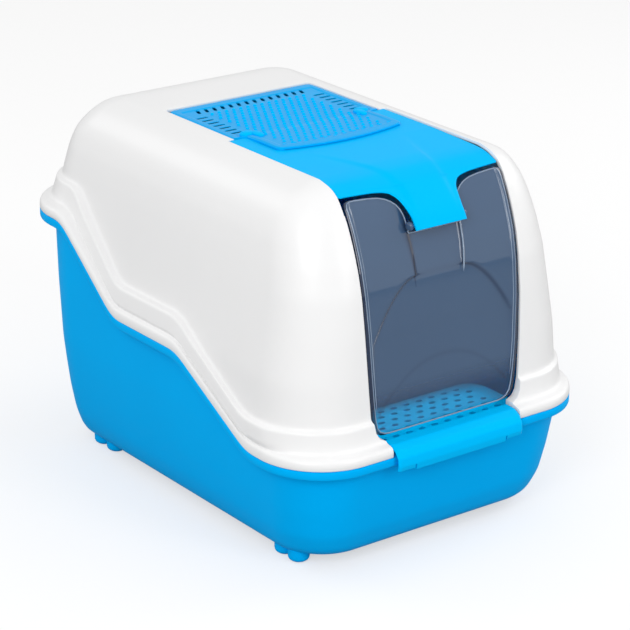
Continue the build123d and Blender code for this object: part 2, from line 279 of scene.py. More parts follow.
def outward(points, faces):
    # turns every face round if the closed shape's volume comes out negative
    volume = 0.0
    for size in (3, 4):
        some = np.array([face for face in faces if len(face) == size], int).reshape(-1, size)
        for second in range(1, size - 1):
            a, b, c = points[some[:, 0]], points[some[:, second]], points[some[:, second + 1]]
            volume += np.einsum("ij,ij->i", a, np.cross(b, c)).sum()
    return points, ([face[::-1] for face in faces] if volume < 0 else faces)


def sheetShell(outer, inner):
    # closed sheet between an outer grid and an inner grid of the same shape
    rows, columns = outer.shape[:2]
    count = rows * columns
    points = np.vstack([outer.reshape(-1, 3), inner.reshape(-1, 3)])
    top = gridFaces(rows, columns, False)
    bottom = [[corner + count for corner in face[::-1]] for face in top]
    loop = np.concatenate([np.arange(columns), np.arange(2, rows + 1) * columns - 1,
                           (rows - 1) * columns + np.arange(columns - 2, -1, -1),
                           np.arange(rows - 2, 0, -1) * columns])
    following = np.roll(loop, -1)
    rim = np.stack([following, loop, loop + count, following + count], -1).tolist()
    return outward(points, top + bottom + rim)


def gridNormals(points):
    # unit normals of an open grid
    along = np.gradient(points, axis=0)
    across = np.gradient(points, axis=1)
    normal = np.cross(across, along)
    return normal / np.maximum(np.linalg.norm(normal, axis=2, keepdims=True), 1e-9)


def smoothTable(keys, values, samples=600, spread=0.05):
    # a run of straight stretches with its bends rounded: a moving average, twice, over part of the length
    span = np.linspace(keys[0], keys[-1], samples)
    width = max(int(samples * spread) // 2, 1)
    kernel = np.ones(2 * width + 1) / (2 * width + 1)
    smoothed = []
    for value in np.asarray(values, float).T:
        run = np.interp(span, keys, value)
        for again in range(2):
            head = 2 * run[0] - run[width:0:-1]
            tail = 2 * run[-1] - run[-2:-width - 2:-1]
            run = np.convolve(np.concatenate([head, run, tail]), kernel, "valid")
        smoothed.append(run)
    return span, np.array(smoothed).T


def ramp(value, start, length):
    # 0 up to the start, then straight up to 1 over the length
    return np.clip((value - start) / length, 0, 1)


def falloff(value, width):
    # 1 well below zero, 0 well above it
    return 1 / (1 + np.exp(value / width))


def bell(value, width):
    return np.exp(-(value / width) ** 2)


def lineLength(line):
    # the way along a line to each of its points
    return np.concatenate([[0], np.cumsum(np.hypot(*np.diff(line, axis=0).T))])


def outlineBasis(sideCount, endCount, cornerCount):
    # samples round a rounded rectangle: a share of the way to the corner's centre, and a direction from there
    parts = []
    corners = ((1, 1), (-1, 1), (-1, -1), (1, -1))
    for index, (cornerX, cornerY) in enumerate(corners):
        count = sideCount if index % 2 == 0 else endCount
        slide = np.linspace(-1, 1, count, endpoint=False)
        angle = np.radians(90 * index)
        side = np.stack([
            np.full(count, 1.0) * (1 if index == 0 else -1) if index % 2 == 0 else slide * -cornerY,
            slide * cornerX if index % 2 == 0 else np.full(count, 1.0) * cornerY,
            np.full(count, np.cos(angle)), np.full(count, np.sin(angle))], -1)
        turn = angle + np.linspace(0, np.pi / 2, cornerCount, endpoint=False)
        arc = np.stack([np.full(cornerCount, float(cornerX)), np.full(cornerCount, float(cornerY)),
                        np.cos(turn), np.sin(turn)], -1)
        parts += [side, arc]
    return np.vstack(parts).T


rimSize = dict(halfWidth=195.0, front=-270.0, back=270.0, corner=75.0, sideCount=110, endCount=70,
               cornerCount=26)
basis = outlineBasis(rimSize["sideCount"], rimSize["endCount"], rimSize["cornerCount"])


def outline(halfWidth, corner, front, back, inset=0.0):
    # x and y round a rounded rectangle, for one size or a column of sizes
    cornerX, cornerY, roundX, roundY = basis
    radius = np.maximum(corner - inset, 1.0)
    halfLength = (back - front) / 2 - inset
    x = cornerX * (halfWidth - inset - radius) + roundX * radius
    y = cornerY * (halfLength - radius) + roundY * radius + (front + back) / 2
    return x, y


rimX, rimY = outline(rimSize["halfWidth"], rimSize["corner"], rimSize["front"], rimSize["back"])
seamSide = dict(corners=[(-330, 126.5), (-170, 126.5), (-45, 193.5), (74, 193.5), (175, 273), (330, 273)],
                spread=0.03)
seamRun = np.array(seamSide["corners"], float)
seamSpan, seamHeights = smoothTable(seamRun[:, 0], seamRun[:, 1:], 1200, seamSide["spread"])
seamZ = np.interp(rimY, seamSpan, seamHeights[:, 0])      # the wave at every sample round the rim


# Hood

hoodSize = dict(
    # z, half width, corner radius, front y, back y from the rim up
    levels=[(100, 187, 70, -250, 262), (155, 187, 70, -250, 262), (206, 184, 70, -247, 262),
            (255, 176, 68, -243, 262), (293, 170, 64, -238, 261), (322, 165, 63, -231, 256),
            (345, 160, 60, -222.5, 250), (362, 154, 56, -215, 243), (375, 147, 52, -207.5, 232),
            (386, 135, 40, -200, 219), (393, 122, 25, -189, 205), (397, 108, 12, -172, 184)],
    # height above the seam and how far out towards the rim: lip, roll, flare, soft ridge
    flange=[(0.3, 0.90), (0.7, 0.97), (1.6, 1.0), (5.0, 1.0), (7.5, 0.985), (9.5, 0.94), (10.8, 0.87),
            (11.8, 0.72), (12.4, 0.57), (13.2, 0.46), (14.4, 0.39), (17.0, 0.345), (21.0, 0.31), (25.0, 0.28),
            (29.0, 0.255), (32.0, 0.24), (33.8, 0.23), (34.8, 0.20), (35.5, 0.14), (36.2, 0.08),
            (37.0, 0.035), (38.6, 0.01), (41.0, 0.0), (44.0, 0.0)],
    # the soft ledge stands out a little more along the sides than the flare alone gives
    ledge=4.2, ledgeTop=35.6, ledgeFront=(-238, -208), ledgeBack=(150, 190),
    # the wall's thickness turns from sideways to downwards over this height
    wall=3.0, roofFrom=330.0, roofOver=40.0, wallRows=64, roofRows=14)


def profileTable(levels, spread):
    # levels as a smooth run by length along the wall
    table = np.array(levels, float)
    return smoothTable(lineLength(table[:, :2]), table, 900, spread)


def wallPoints(z, inset, table):
    # the wall's outline at a height, or at a height for every sample
    place = np.interp(z, table[:, 0], np.arange(len(table)))
    sizes = [np.interp(place, np.arange(len(table)), table[:, column]) for column in (1, 2, 3, 4)]
    x, y = outline(*sizes, inset)
    return np.stack([x, y, np.broadcast_to(z, x.shape)], -1)


def drawnOut(point, reach):
    # the outline moved a share of the way out to the rim
    point[:, 0] += (rimX - point[:, 0]) * reach
    point[:, 1] += (rimY - point[:, 1]) * reach
    return point


def hoodSurface(inset):
    # rows from the seam to the roof's middle, drawn out to the rim low down
    size = hoodSize
    span, table = profileTable(size["levels"], 0.035)
    rows = []

    def wallPoint(z):
        point = wallPoints(z, inset, table)
        point[:, 2] -= inset * ramp(z, size["roofFrom"], size["roofOver"])
        return point

    ledgeShare = np.interp(rimY, (*size["ledgeFront"], *size["ledgeBack"]), (0, 1, 1, 0))
    ledgeShare = ledgeShare * ramp(np.abs(rimX), 150, 30)
    if inset == 0:
        for lift, reach in size["flange"]:
            z = seamZ + lift
            point = drawnOut(wallPoint(z), reach)
            step = falloff(lift - size["ledgeTop"], 0.7) * ramp(lift, 12.5, 4)
            point[:, 0] += np.sign(point[:, 0]) * size["ledge"] * ledgeShare * step
            rows.append(point)
        startZ = seamZ + size["flange"][-1][0]
    else:
        startZ = seamZ + 0.3
    startPlace = np.interp(startZ, table[:, 0], span)
    for step in np.linspace(0, 1, size["wallRows"])[(1 if inset == 0 else 0):]:
        z = np.interp(startPlace + (span[-1] - startPlace) * step, span, table[:, 0])
        rows.append(wallPoint(z))
    edge = rows[-1]
    centre = np.array([0, (table[-1, 3] + table[-1, 4]) / 2, edge[0, 2]])
    for step in np.linspace(0, 0.97, size["roofRows"])[1:]:
        rows.append(edge + (centre - edge) * step)
    return np.array(rows)


def prism(outlinePoints, axis, low, high):
    # closed block with the outline (two coordinates) carried from low to high along the third axis
    flat = np.asarray(outlinePoints, float)
    columns = {"x": (1, 2, 0), "y": (0, 2, 1), "z": (0, 1, 2)}[axis]
    count = len(flat)
    points = np.zeros((2 * count, 3))
    points[:, columns[0]] = np.tile(flat[:, 0], 2)
    points[:, columns[1]] = np.tile(flat[:, 1], 2)
    points[:count, columns[2]] = low
    points[count:, columns[2]] = high
    step = np.arange(count)
    following = (step + 1) % count
    sides = np.stack([step, following, following + count, step + count], -1).tolist()
    caps = [list(range(count))[::-1], list(range(count, 2 * count))]
    area = np.sum(flat[:, 0] * np.roll(flat[:, 1], -1) - np.roll(flat[:, 0], -1) * flat[:, 1])
    flip = (area < 0) != (axis == "y")
    faces = sides + caps
    return points, ([face[::-1] for face in faces] if flip else faces)


def cut(piece, blocks, edge=0.0):
    # takes the blocks out of the piece, rounds the new edges, and leaves a plain mesh
    tool = linked(piece.name + "Cut", rawMesh(piece.name + "Cut", *merged(blocks)))
    carve = piece.modifiers.new("carve", "BOOLEAN")
    carve.operation = "DIFFERENCE"
    carve.solver = "EXACT"
    carve.object = tool
    settle(piece)
    bpy.data.objects.remove(tool)
    if edge:
        soften(piece, edge)
    smoothShade(piece.data, 35.0)


def soften(piece, width, angle=40.0):
    # small rounding on the sharp edges
    rounding = piece.modifiers.new("soften", "BEVEL")
    rounding.width = width * mm
    rounding.segments = 2
    rounding.limit_method = "ANGLE"
    rounding.angle_limit = np.radians(angle)
    settle(piece)
    smoothShade(piece.data, angle)


def settle(piece):
    # the mesh as its modifiers leave it
    graph = bpy.context.evaluated_depsgraph_get()
    result = bpy.data.meshes.new_from_object(piece.evaluated_get(graph), depsgraph=graph)
    piece.modifiers.clear()
    piece.data = result


def mirroredOutline(points):
    # outline from points on the right side, in order, and their mirror images
    right = np.array(points, float)
    return np.vstack([right, right[::-1] * (-1, 1)])


hoodCuts = dict(
    door=[(84, 141), (91, 144.5), (95, 151), (97.5, 165), (100, 206), (102, 255), (103.5, 322), (104.3, 410)],
    doorBack=-178, flapHalfWidth=104.4, flapBack=-12.1, panHalfWidth=96.3, panBack=115.6, cornerRound=5.0,
    roof=(370, 420), clipHalfWidth=84.0, clipHeights=(100, 142.5), clipDepth=-240.0, ahead=-300)


def makeHood():
    inside = hoodSurface(hoodSize["wall"])[::-1]
    outside = hoodSurface(0)
    points, faces = closedTube(np.concatenate([inside, outside]))
    hood = meshFrom("hoodShell", points, faces, "hoodWhite", "hood", "hood_white")
    size = hoodCuts
    radius = size["cornerRound"]
    flapX, panX = size["flapHalfWidth"], size["panHalfWidth"]
    flapY, panY = size["flapBack"], size["panBack"]
    roof = [(flapX, size["ahead"]), (flapX, flapY - 1.5), (flapX - 1.5, flapY), (panX, flapY),
            (panX, panY - radius)]
    turn = np.radians(np.linspace(0, 90, 7))[1:]
    roof += [(panX - radius + radius * np.cos(a), panY - radius + radius * np.sin(a)) for a in turn]
    low, high = size["clipHeights"]
    notch = [(size["clipHalfWidth"], low), (size["clipHalfWidth"], high)]
    cut(hood, [prism(mirroredOutline(size["door"]), "y", size["ahead"], size["doorBack"])])
    cut(hood, [prism(mirroredOutline(roof), "z", *size["roof"])])
    cut(hood, [prism(mirroredOutline(notch), "y", size["ahead"], size["clipDepth"])])
    soften(hood, 0.7)
    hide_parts("hood")


makeHood()
print("hood done")


# Tray

traySize = dict(
    levels=[(9.6, 140, 44, -211, 210), (10.5, 149, 48, -221, 219), (13, 156, 54, -229, 226),
            (20, 163, 58, -237, 231), (40, 170, 60, -245, 234), (70, 175, 62, -251, 238),
            (100, 178.5, 64, -256, 241), (127, 181, 66, -260, 244), (195, 184, 68, -262, 247),
            (290, 186, 70, -262, 250)],
    # depth under the seam and how far out towards the rim, from the lip's top edge down
    lip=[(0.0, 0.90), (0.5, 0.97), (1.3, 1.0), (7.6, 1.0), (8.6, 0.97), (9.2, 0.90), (9.4, 0.5), (9.8, 0.22),
         (11.0, 0.10), (13.5, 0.03), (17.0, 0.0)],
    wall=3.0, wallRows=46, baseRows=12, floorZ=13.0)


def makeTray():
    # the lip, then the wall down to the base outside, and the same way inside
    size = traySize
    span, table = profileTable(size["levels"], 0.03)
    outer, inner = [], []
    for depth, reach in size["lip"]:
        outer.append(drawnOut(wallPoints(seamZ - depth, 0, table), reach))
    startZ = seamZ - size["lip"][-1][0]
    startPlace = np.interp(startZ, table[:, 0], span)
    for step in np.linspace(0, 1, size["wallRows"])[1:]:
        z = np.interp(startPlace * (1 - step), span, table[:, 0])
        outer.append(wallPoints(z, 0, table))
    floorPlace = np.interp(size["floorZ"], table[:, 0], span)
    topPlace = np.interp(seamZ, table[:, 0], span)
    for step in np.linspace(0, 1, size["wallRows"]):
        z = np.interp(topPlace + (floorPlace - topPlace) * step, span, table[:, 0])
        inner.append(wallPoints(z, size["wall"], table))
    for rows in (outer, inner):
        edge = rows[-1]
        centre = np.array([0, 0, edge[0, 2]])
        rows += [edge + (centre - edge) * step for step in np.linspace(0, 0.97, size["baseRows"])[1:]]
    points, faces = closedTube(np.concatenate([np.array(inner)[::-1], np.array(outer)]))
    tray = meshFrom("trayShell", points, faces, "trayBlue", "tray", "tray_blue")
    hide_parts("base_tray")


makeTray()

feetSize = dict(x=143.0, ys=[-192, -169, 150, 175], radius=11.5, height=20.0, swellRate=2.4, swell=0.45,
                rows=14, columns=28)


def makeFeet():
    # round lobes: the radius starts smaller by the swell's share and soon reaches full size, by a fourth power
    size = feetSize
    turn = np.linspace(0, 2 * np.pi, size["columns"], endpoint=False)
    rise = np.linspace(0, 1, size["rows"]) ** 1.6
    radius = size["radius"] * (1 - (1 - np.minimum(rise * size["swellRate"], 1)) ** 4 * size["swell"])
    height = np.broadcast_to((rise * size["height"])[:, None], (size["rows"], size["columns"]))
    lobes = [closedTube(np.stack([side * size["x"] + radius[:, None] * np.cos(turn),
                                  y + radius[:, None] * np.sin(turn), height], -1))
             for side in (-1, 1) for y in size["ys"]]
    feet = joined("trayFeet", lobes, "trayBlue", "tray", "tray_blue", 50)
    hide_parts("base_tray")


makeFeet()
print("tray done")


# Sheets with a side line: flap, door, cover and clip

def sideGrid(line, widths, across, rows, spread):
    # points over a sheet: rows along the side line, columns across in shares of the half width there
    table = np.array(line, float)
    span, smooth = smoothTable(lineLength(table), table, 900, spread)
    place = np.linspace(0, 1, rows) * span[-1]
    y = np.interp(place, span, smooth[:, 0])
    z = np.interp(place, span, smooth[:, 1])
    x = widths(y, z)[:, None] * across[None, :]
    return np.stack([x, np.broadcast_to(y[:, None], x.shape), np.broadcast_to(z[:, None], x.shape)], -1)


def edgeSamples(count, crowd=0.7):
    # from -1 to 1, closer together at the ends
    run = np.linspace(-1, 1, count)
    return run * (1 - crowd) + np.sin(run * np.pi / 2) * crowd


flapSize = dict(
    line=[(-13, 396.5), (-90, 396.5), (-160, 396.5), (-180, 394.6), (-200, 387), (-210, 378.8), (-220, 369.8),
          (-229, 360), (-236.3, 348)],
    halfWidth=103.0,
    tongue=[(-236.5, 32.4), (-228, 32.6), (-220.5, 34.5), (-214, 36.8), (-210, 39.5), (-206, 44),
            (-203.5, 51), (-201.8, 62), (-200.6, 80), (-200.0, 99.2), (-199.0, 102.2), (-197.0, 103.0)],
    thickness=3.0, rows=190, columns=121, crease=1.7, creaseWidth=1.5, creaseNear=27.0, creaseSpread=46.0,
    edgeDrop=1.0, edgeWidth=1.3)


def flapWidths(y, z):
    ys = [place for place, width in flapSize["tongue"]] + [0.0]
    widths = [width for place, width in flapSize["tongue"]] + [flapSize["halfWidth"]]
    return np.interp(y, ys, widths)


def makeFlap():
    # the sheet, its edge turned down a little, and two soft creases that run together into the tongue
    size = flapSize
    grid = sideGrid(size["line"], flapWidths, edgeSamples(size["columns"]), size["rows"], 0.05)
    normal = gridNormals(grid)
    normal *= np.sign(normal[:, :, 2:3] + normal[:, :, 1:2] * -0.2 + 1e-6)
    y, x = grid[:, :, 1], np.abs(grid[:, :, 0])
    creaseX = size["creaseNear"] + size["creaseSpread"] * ramp(y, -216.0, 150.0) ** 1.5
    fade = ramp(y, -232.0, 20.0) * ramp(-y, 95.0, 60.0)
    drop = size["crease"] * fade * falloff(creaseX - x, size["creaseWidth"])
    drop = drop + size["edgeDrop"] * bell(np.abs(grid[:, -1:, 0]) - x, size["edgeWidth"])
    outer = grid - normal * drop[:, :, None]
    inner = grid - normal * size["thickness"]
    points, faces = sheetShell(outer, inner)
    flap = meshFrom("roofFlap", points, faces, "flapBlue", "bonnet", "flap_blue")
    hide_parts("bonnet")


makeFlap()

panSize = dict(halfWidth=95.4, front=-33.0, back=113.0, floor=384.0, top=393.4, wall=2.5, pitch=24.0,
               hole=17.0)


def boxPoints(x0, x1, y0, y1, z0, z1):
    return prism([(x0, y0), (x1, y0), (x1, y1), (x0, y1)], "z", z0, z1)


def makePan():
    # tray for the filter under the cover: walls, and a lattice floor
    size = panSize
    w, thick = size["halfWidth"], size["wall"]
    front, back, low, top = size["front"], size["back"], size["floor"], size["top"]
    points, faces = boxPoints(-w, w, front, back, low, top)
    pan = meshFrom("filterPan", points, faces, "flapBlue", "bonnet", "flap_blue")
    cut(pan, [boxPoints(-w + thick, w - thick, front + thick, back - thick, low + thick, top + 10)])
    middle = (front + back) / 2
    half, pitch = size["hole"] / 2, size["pitch"]
    holes = [boxPoints(c * pitch - half, c * pitch + half, middle + r * pitch - half,
                       middle + r * pitch + half, low - 5, low + 2 * thick)
             for c in range(-3, 4) for r in range(-2, 3)]
    cut(pan, holes, 0.4)
    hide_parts("bonnet")


makePan()
print("flap done")


# Vent cover

coverSize = dict(
    line=[(112.9, 394.8), (112.2, 396.2), (110, 397.1), (40, 397), (-6, 397.1), (-18, 399.1), (-40, 399.8),
          (-70, 399.8), (-78, 399.6), (-81.5, 399.0)],
    halfWidth=95.0, frontHalfWidth=81.5, stepY=-12.0, sag=11.0, thickness=1.9, rows=170, columns=121,
    rowPitch=10.6, slotRowY=92.0, slotCount=14, slotLength=13.0, slotWidth=4.2, slant=20.0,
    sideX=78.0, sideStart=72.0, sideCount=7, sideLength=15.0, edgeDrop=1.1, panelDepth=0.9)


def coverWidths(y, z):
    size = coverSize
    return np.interp(y, [-81, -79, -74, size["stepY"] - 2, size["stepY"] + 2, 104, 109, 113],
                     [76.5, 79.5, 81.0, size["frontHalfWidth"], size["halfWidth"], size["halfWidth"],
                      size["halfWidth"] - 1.4, size["halfWidth"] - 7])


def slotBlock(x, y, length, width, turnDegrees):
    # a slot with round ends, cut straight down
    angle = np.radians(np.concatenate([np.linspace(-90, 90, 6), np.linspace(90, 270, 6)]))
    shift = np.where(np.arange(12) < 6, 1, -1) * (length - width) / 2
    local = np.stack([np.cos(angle) * width / 2 + shift, np.sin(angle) * width / 2], -1)
    turn = np.radians(turnDegrees)
    across = local @ np.array([[np.cos(turn), np.sin(turn)], [-np.sin(turn), np.cos(turn)]])
    return prism(across + (x, y), "z", 380, 410)


def makeCover():
    size = coverSize
    across = edgeSamples(size["columns"])
    grid = sideGrid(size["line"], coverWidths, across, size["rows"], 0.012)
    # the front lip bows forward in the middle: the sheet is stretched so that its sides stop short of the lip
    sag = size["sag"] * across[None, :] ** 2 * ramp(-grid[:, :, 1], 40.0, 41.0)
    grid[:, :, 1] += sag
    rim = np.abs(grid[:, -1:, 0]) - np.abs(grid[:, :, 0])
    grid[:, :, 2] -= size["edgeDrop"] * bell(rim, 1.4)
    # a shallow panel with a raised border, on the back part and the front part alike
    panel = ramp(rim, 7.0, 2.0) * ramp(-grid[:, :, 1], -100.0, 2.5) * ramp(grid[:, :, 1] - sag, -69.0, 2.5)
    outer = grid - np.array([0, 0, 1.0]) * (size["panelDepth"] * panel)[:, :, None]
    inner = grid.copy()
    inner[:, :, 2] -= size["thickness"]
    points, faces = sheetShell(outer, inner)
    cover = meshFrom("ventCoverPlate", points, faces, "coverBlue", "vent_cover", "flap_blue")
    middle = (size["slotCount"] - 1) / 2
    blocks = [slotBlock((i - middle) * size["rowPitch"], size["slotRowY"], size["slotLength"],
                        size["slotWidth"], 90 - size["slant"]) for i in range(size["slotCount"])]
    for side in (-1, 1):
        for i in range(size["sideCount"]):
            y = size["sideStart"] - i * size["rowPitch"]
            blocks.append(slotBlock(side * size["sideX"], y, size["sideLength"], size["slotWidth"], 0))
    cut(cover, blocks)
    soften(cover, 0.35)
    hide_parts("vent_cover")


makeCover()

studSize = dict(pitch=9.4, halfWidth=64.0, back=78.0, front=-60.0, radius=2.3, height=2.1,
                seat=(398.2, 398.4, 397.9, 395.9, 395.9, 395.9))
toothSize = dict(count=12, pitch=12.4, y=-66.0, half=3.6, back=2.2, tip=3.4, foot=397.6, top=400.0,
                 taper=0.55, bow=0.62)


def makeStuds():
    # low domes on a staggered grid between the slots, each a ring of eight and a top
    size = studSize
    rows = np.arange(size["front"], size["back"], size["pitch"] * 0.86)
    columns = np.arange(-8, 9) * size["pitch"]
    x = (columns[None, :] + (np.arange(len(rows)) % 2)[:, None] * size["pitch"] / 2).ravel()
    y = np.repeat(rows, len(columns))
    keep = np.abs(x) < size["halfWidth"]
    x, y = x[keep], y[keep]
    base = np.interp(y, [-81, -40, -18, -6, 40, 113], size["seat"])
    turn = np.linspace(0, 2 * np.pi, 8, endpoint=False)
    rings = ((1.0, -1.2), (0.95, 0.25), (0.62, 0.8))
    dome = [np.stack([np.cos(turn) * size["radius"] * share, np.sin(turn) * size["radius"] * share,
                      np.full(8, lift * size["height"])], -1) for share, lift in rings]
    dome = np.vstack(dome + [[(0, 0, size["height"])], [(0, 0, -1.2 * size["height"])]])
    points = (dome[None] + np.stack([x, y, base], -1)[:, None]).reshape(-1, 3)
    step = np.arange(8)
    following = (step + 1) % 8
    band = np.stack([step, following, following + 8, step + 8], -1)
    quads = np.vstack([band, band + 8])
    tops = np.stack([step + 16, following + 16, np.full(8, 24)], -1)
    bottoms = np.stack([following, step, np.full(8, 25)], -1)
    offsets = (np.arange(len(x)) * 26)[:, None, None]
    faces = (quads + offsets).reshape(-1, 4).tolist()
    faces += (np.vstack([tops, bottoms]) + offsets).reshape(-1, 3).tolist()
    meshFrom("ventStuds", points, faces, "flapBlue", "vent_cover", "flap_blue", 60)


def makeTeeth():
    # small raised triangles along the front lip
    size = toothSize
    places = (np.arange(size["count"]) - (size["count"] - 1) / 2) * size["pitch"]
    teeth = []
    for x in places:
        y = size["y"] + coverSize["sag"] * (x / coverSize["frontHalfWidth"]) ** 2 * size["bow"]
        rear = y - size["back"]
        points, faces = prism([(x - size["half"], rear), (x + size["half"], rear), (x, y + size["tip"])],
                              "z", size["foot"], size["top"])
        points[3:, :2] = (points[3:, :2] - (x, y)) * size["taper"] + (x, y)
        teeth.append((points, faces))
    joined("ventTeeth", teeth, "flapBlue", "vent_cover", "flap_blue", 30)


def domed(centre, radii, power=2.6, rows=18, columns=32):
    # rounded lump: x, y and z each a signed power of the sphere's, so that it fills its box a little
    up = np.linspace(-np.pi / 2 + 0.06, np.pi / 2 - 0.06, rows)[:, None]
    turn = np.linspace(0, 2 * np.pi, columns, endpoint=False)[None, :]

    def swell(value):
        return np.sign(value) * np.abs(value) ** (2 / power)

    lump = np.stack([swell(np.cos(up)) * swell(np.cos(turn)), swell(np.cos(up)) * swell(np.sin(turn)),
                     np.broadcast_to(swell(np.sin(up)), (rows, columns))], -1)
    return closedTube(lump * radii + centre)


makeStuds()
makeTeeth()
catchSize = dict(lump=(75.0, -6.0, 397.2), lumpRadii=(8.5, 6.5, 3.6), ridge=(68.0, -15.0, 398.6),
                 ridgeRadii=(4.6, 9.0, 2.6))
joined("ventCatches", [domed(np.array(catchSize[part]) * (side, 1, 1), catchSize[part + "Radii"])
                       for part in ("lump", "ridge") for side in (-1, 1)],
       "flapBlue", "vent_cover", "flap_blue")
print("vent cover done")


# Door

doorSize = dict(
    line=[(-247, 142.5), (-246.5, 170), (-245, 206), (-241.5, 255), (-236.5, 293), (-230, 322), (-217.5, 355),
          (-208, 373), (-200, 384.5)],
    side=[(142.5, 76), (143.4, 83), (146.0, 88.4), (151, 92.3), (160, 94.3), (175, 96), (206, 98), (255, 100),
          (322, 101.3), (376.4, 101.5), (379.8, 100.2), (381.4, 96)],
    notch=[(342.5, 34.2), (352, 34.4), (360, 35.6), (366, 37.8), (370, 41.0), (373.8, 46.0), (376.8, 52),
           (379.0, 60), (380.4, 72), (381.4, 90)],
    foot=142.5, low=142.6, top=381.2, thickness=2.5, rows=230, columns=320, lobeRows=60, lobeColumns=110,
    # edge: widths of the painted shadow strip along the door's sides, at the edge heights
    bead=1.2, keyhole=2.2, edgeHeights=(150, 200, 300, 384), edge=(4.6, 3.8, 2.6, 2.0))
doorLine = np.array(doorSize["line"], float)
doorFace = smoothTable(lineLength(doorLine), doorLine, 400, 0.05)[1]
doorFace = doorFace[np.argsort(doorFace[:, 1])]


def faceY(z):
    # the door's outer face at a height
    return np.interp(z, doorFace[:, 1], doorFace[:, 0])


def doorHalf(z, key="side"):
    # half width of the door, or of the notch round the tongue, at a height
    return np.interp(z, *np.transpose(doorSize[key]))


def doorStep(z, steps):
    return np.interp(z, doorSize["edgeHeights"], steps)


def relief(x, z):
    # how far the face stands out: an edge bead, and the keyhole panel with its neck and wide arch
    size = doorSize
    rim = np.minimum(doorHalf(z) - np.abs(x), z - size["foot"])
    bead = size["bead"] * bell(rim - 4.0, 2.2)
    panel = falloff(np.abs(x) - archHalf(z), 1.2)
    return bead - size["keyhole"] * panel * ramp(z, 150, 90)


def archHalf(z):
    # half width of the keyhole panel: a straight neck, then a quick spread into the arch
    return 33.0 - 3.0 * ramp(-z, -344.0, 50.0) + 60.0 * ramp(-z, -300.0, 60.0) ** 0.55


def doorShadeMask(x, z):
    # painted shade on the door: dark lines along the arch, faintly along a second arch low down and across at
    # 300 mm, down the left of the neck, and a dark strip along the sides
    arch = archHalf(z)
    slope = np.abs(np.gradient(arch, axis=0) / np.maximum(np.abs(np.gradient(z, axis=0)), 1e-6))
    away = np.abs(np.abs(x) - arch) / np.sqrt(1 + slope ** 2)
    upper = bell(away, 2.6) * ramp(-z, -348, 6) * ramp(z, 215, 40)
    lowZ = 212.0 - 40.0 * (np.abs(x) / 78.0) ** 2.2
    lower = 0.3 * bell(z - lowZ, 3.0) * (np.abs(x) < 84)
    band = 0.25 * bell(z - 300.0, 4.0) * (np.abs(x) < arch)
    # painted shadow: a dark strip along each side of the door, widest low down, for the shaded gap between
    # door and opening
    edge = falloff(doorHalf(z) - np.abs(x) - doorStep(z, doorSize["edge"]), 0.35)
    # painted shade down the left edge of the neck only, widening upwards
    neckShadeWidth = ramp(z, 290, 60) * 8.0 + 1.0
    neckShade = np.clip(1 - np.abs(x + 31 + neckShadeWidth / 2) / neckShadeWidth, 0, 1) * (z > 288) * 0.8
    return np.clip(upper * 0.75 + lower + band + neckShade + edge * 1.6, 0, 1.6)


def doorSheet(z, low, high, columns):
    # a grid on the door's face between two outlines in x, with its normals
    x = low[:, None] + (high - low)[:, None] * np.linspace(0, 1, columns)[None, :]
    zs = np.broadcast_to(z[:, None], x.shape)
    grid = np.stack([x, faceY(zs), zs], -1)
    normal = np.stack([np.zeros(len(z)), -np.ones(len(z)), np.gradient(faceY(z), z)], -1)
    normal /= np.linalg.norm(normal, axis=1, keepdims=True)
    return grid, np.broadcast_to(normal[:, None], grid.shape)


def makeDoor():
    # full width up to the tongue, then a lobe on each side of it
    size = doorSize
    neckZ = size["notch"][0][0]
    low = np.linspace(size["low"], neckZ, size["rows"])
    high = np.linspace(neckZ, size["top"], size["lobeRows"])
    shapes = [doorSheet(low, -doorHalf(low), doorHalf(low), size["columns"]),
              doorSheet(high, -doorHalf(high), -doorHalf(high, "notch"), size["lobeColumns"]),
              doorSheet(high, doorHalf(high, "notch"), doorHalf(high), size["lobeColumns"])]
    blocks, marks = [], []
    for grid, normal in shapes:
        lift = relief(grid[:, :, 0], grid[:, :, 2])[:, :, None]
        blocks.append(sheetShell(grid + normal * np.minimum(lift, 0.9),
                                 grid - normal * (size["thickness"] - lift * 0.5)))
        marks.append(np.tile(doorShadeMask(grid[:, :, 0], grid[:, :, 2]).ravel(), 2))
    door = joined("doorPanel", blocks[:1], "smokedClear", "door", "smoked_clear", 40)
    lobes = joined("doorLobes", blocks[1:], "smokedClear", "door", "smoked_clear", 40)
    # the painted shade mask is stored on the door's points
    for piece, values in ((door, marks[0]), (lobes, np.concatenate(marks[1:]))):
        layer = piece.data.attributes.new("paintedShade", "FLOAT", "POINT")
        layer.data.foreach_set("value", values.astype(np.float32))
        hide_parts("door")


makeDoor()

earSize = dict(reach=(32.6, 36.6), y=-226.0, z=350.0, radius=4.6)


def boss(x0, x1, y, z, radius, columns=32):
    # short round boss along x with rounded rims
    turn = np.linspace(0, 2 * np.pi, columns, endpoint=False)
    stations = [(x0, 0.82), (x0 + 0.3, 0.95), (x0 + 0.8, 1.0), (x1 - 0.8, 1.0), (x1 - 0.3, 0.95), (x1, 0.82)]
    tube = np.array([np.stack([np.full(columns, x), y + radius * share * np.cos(turn),
                               z + radius * share * np.sin(turn)], -1) for x, share in stations])
    return closedTube(tube)


highlightCordSize = dict(radius=0.75, inset=0.9, sides=8, samples=700, middle=265.0, step=(5.0, 4.2, 3.0, 2.4),
                neckX=33.0, neckHeights=(292.0, 344.0), neckBow=4.0, second=3.0, secondHeights=(168.0, 370.0))


